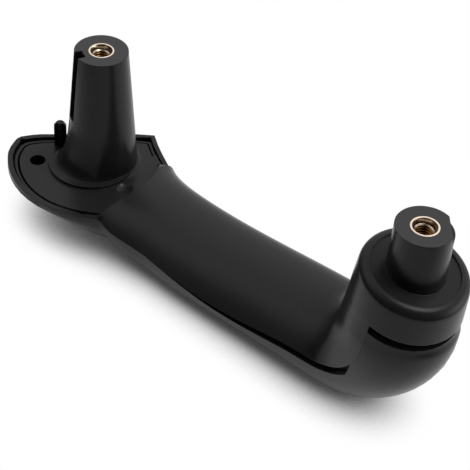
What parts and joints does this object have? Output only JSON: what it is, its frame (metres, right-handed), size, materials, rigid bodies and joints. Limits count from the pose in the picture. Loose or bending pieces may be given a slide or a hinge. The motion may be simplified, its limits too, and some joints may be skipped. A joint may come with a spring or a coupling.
{
  "type": "car door pull handle",
  "caption": "Moulded black door pull handle with a curved grip, a tall tapered post in a round foot, a short stub on a hub, brass threaded inserts and a split outer cover.",
  "frame": {"origin": "centre of the end face of the tall post, on the axis of its thread", "axes": "+Z out of the post along its thread, towards the door; +X along the handle from the post to the stub; +Y across the grip"},
  "size_m": [0.1812, 0.0561, 0.079],
  "materials": {
    "body_plastic": "satin, fine moulded grain",
    "cover_plastic": "satin, fine moulded grain",
    "insert_brass": "turned, bright"
  },
  "bodies": {
    "root": {"handle_body": "body_plastic", "outer_cover": "cover_plastic", "post_insert": "insert_brass", "stub_insert": "insert_brass"}
  },
  "joints": []
}
